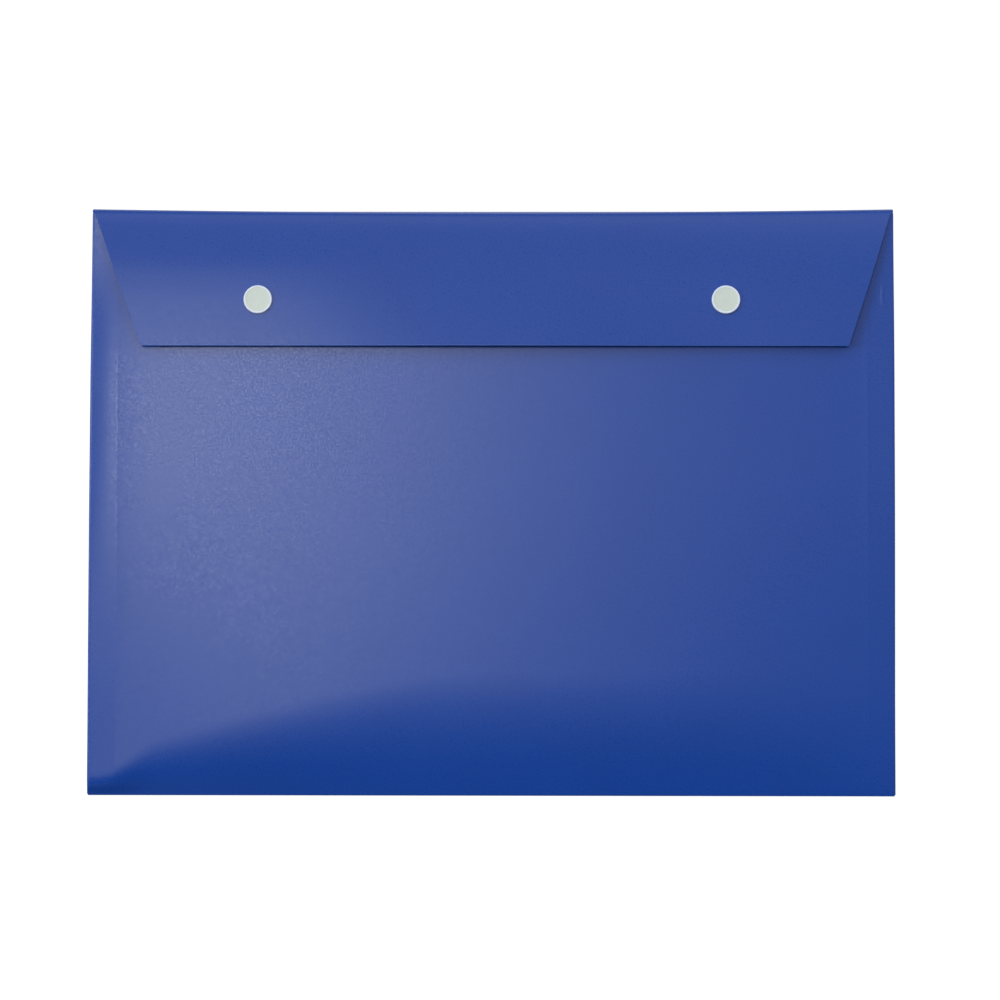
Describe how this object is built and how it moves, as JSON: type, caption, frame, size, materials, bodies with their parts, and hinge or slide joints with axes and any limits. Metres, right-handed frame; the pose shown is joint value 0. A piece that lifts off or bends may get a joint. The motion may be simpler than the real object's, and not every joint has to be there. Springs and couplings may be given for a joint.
{
  "type": "document wallet",
  "caption": "Landscape A4 document wallet of grained plastic sheet, a shallow pocket with a tapered fold-over flap that closes on round press studs.",
  "frame": {"origin": "centre of the back panel's outer face, on the surface the wallet lies on", "axes": "+X along the wallet's width to the right, +Y to the top fold, +Z out of the front"},
  "size_m": [0.33, 0.24, 0.0105],
  "materials": {
    "grained_sheet": "fine sand-grained polypropylene",
    "snap_plastic": "milky moulded polypropylene"
  },
  "bodies": {
    "pocket": {"back_panel": "grained_sheet", "left_side_tab": "grained_sheet", "right_side_tab": "grained_sheet", "front_bottom_slope": "grained_sheet", "left_front_margin": "grained_sheet", "right_front_margin": "grained_sheet", "left_seam_weld": "grained_sheet", "right_seam_weld": "grained_sheet"},
    "front": {"front_panel": "grained_sheet", "left_stud": "snap_plastic", "right_stud": "snap_plastic", "left_stud_rivet": "snap_plastic", "right_stud_rivet": "snap_plastic"},
    "spine": {"top_spine": "grained_sheet"},
    "flap": {"flap_panel": "grained_sheet", "left_cap": "snap_plastic", "right_cap": "snap_plastic", "left_socket": "snap_plastic", "right_socket": "snap_plastic"}
  },
  "joints": [
    {"name": "spine_crease", "type": "hinge", "parent": "pocket", "child": "spine", "pos_m": [0, 0.11945, 0.00055], "axis": [-1, 0, 0], "range_deg": [0, 90]},
    {"name": "flap_crease", "type": "hinge", "parent": "spine", "child": "flap", "pos_m": [0, 0.11945, 0.00585], "axis": [-1, 0, 0], "range_deg": [0, 83.5]},
    {"name": "front_gape", "type": "hinge", "parent": "pocket", "child": "front", "pos_m": [0, -0.088, 0.00595], "axis": [1, 0, 0], "range_deg": [0, 3]}
  ],
  "couplings": [
    {"joint": "front_gape", "follows": "flap_crease", "ratio": 0.035927}
  ]
}
